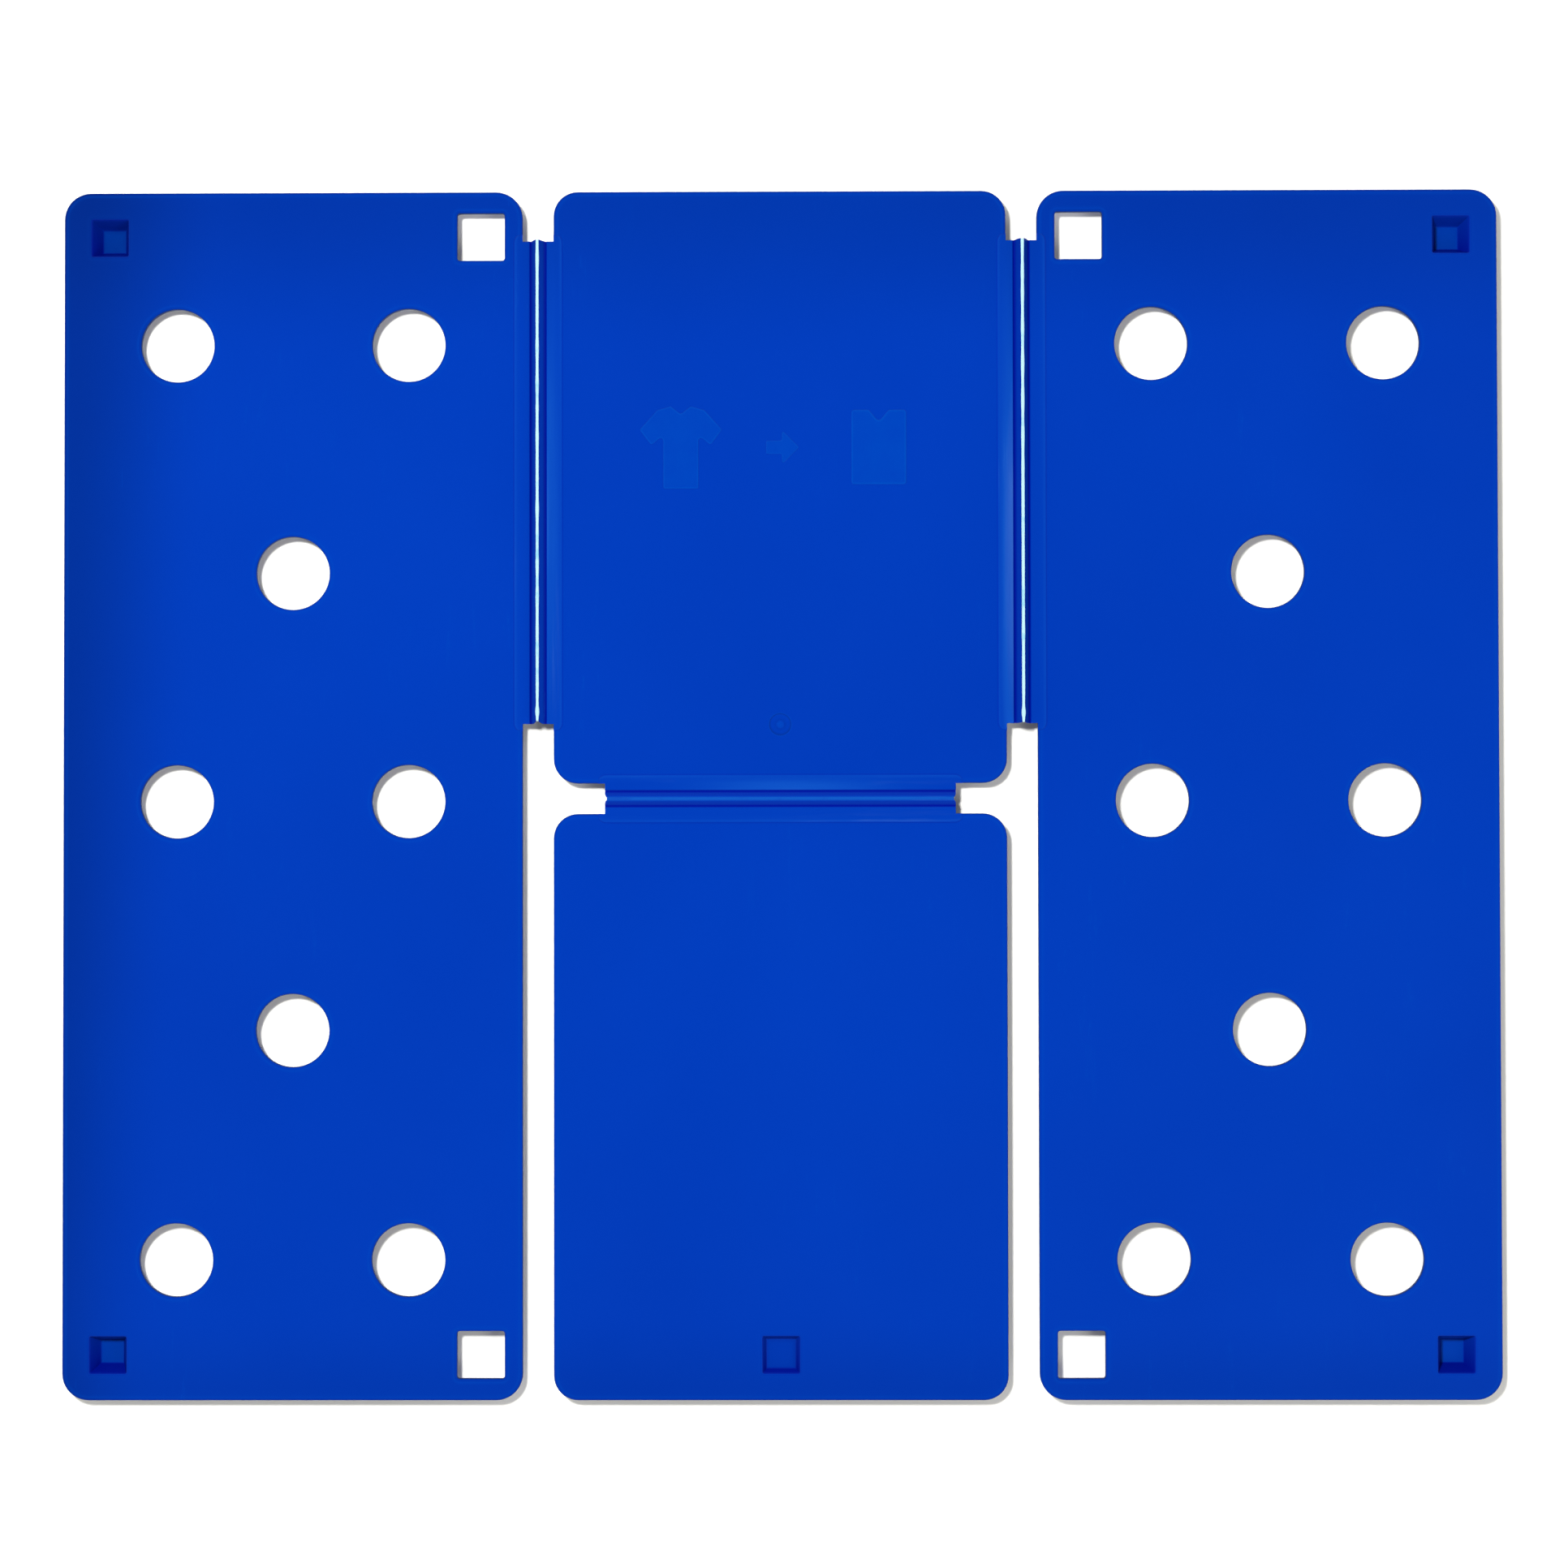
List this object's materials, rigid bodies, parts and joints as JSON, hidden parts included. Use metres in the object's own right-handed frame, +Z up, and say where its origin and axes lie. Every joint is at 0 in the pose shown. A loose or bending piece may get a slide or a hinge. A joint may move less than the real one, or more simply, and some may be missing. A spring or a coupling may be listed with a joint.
{
  "type": "shirt folding board",
  "caption": "Blue moulded folding board for shirts: two wings with air holes and a lower panel fold over a centre panel on thin moulded hinges.",
  "frame": {"origin": "on the surface that the board stands on, under the middle of the open board", "axes": "+X to the right along the longest side, +Y from the lower panel towards the upper panel, +Z up through the sheet, which is the shortest extent"},
  "size_m": [0.7242, 0.6096, 0.0159],
  "materials": {
    "panel": "satin moulded polypropylene, even blue",
    "hinge_leaf": "smooth, slightly glossy blue polypropylene",
    "hinge_web": "stressed thin polypropylene, pale and lets light through",
    "foot": "satin moulded polypropylene, a little darker inside the cup"
  },
  "bodies": {
    "upper_centre": {"upper_centre_panel": "panel", "left_hinge_centre_leaf": "hinge_leaf", "right_hinge_centre_leaf": "hinge_leaf", "lower_hinge_centre_leaf": "hinge_leaf", "left_hinge_web": "hinge_web", "right_hinge_web": "hinge_web", "lower_hinge_web": "hinge_web"},
    "left_wing": {"left_wing_panel": "panel", "left_hinge_wing_leaf": "hinge_leaf", "left_wing_upper_foot": "foot", "left_wing_lower_foot": "foot"},
    "right_wing": {"right_wing_panel": "panel", "right_hinge_wing_leaf": "hinge_leaf", "right_wing_upper_foot": "foot", "right_wing_lower_foot": "foot"},
    "lower_centre": {"lower_centre_panel": "panel", "lower_hinge_panel_leaf": "hinge_leaf", "lower_centre_foot": "foot"}
  },
  "joints": [
    {"name": "left_wing_fold", "type": "hinge", "parent": "upper_centre", "child": "left_wing", "pos_m": [-0.1221, 0.15745, 0.0145], "axis": [0, 1, 0], "range_deg": [0, 180], "deforming": ["left_hinge_web"]},
    {"name": "right_wing_fold", "type": "hinge", "parent": "upper_centre", "child": "right_wing", "pos_m": [0.1221, 0.15745, 0.0161], "axis": [0, -1, 0], "range_deg": [0, 180], "deforming": ["right_hinge_web"]},
    {"name": "lower_panel_fold", "type": "hinge", "parent": "upper_centre", "child": "lower_centre", "pos_m": [0, -0.00235, 0.0117], "axis": [-1, 0, 0], "range_deg": [0, 180], "deforming": ["lower_hinge_web"]}
  ]
}
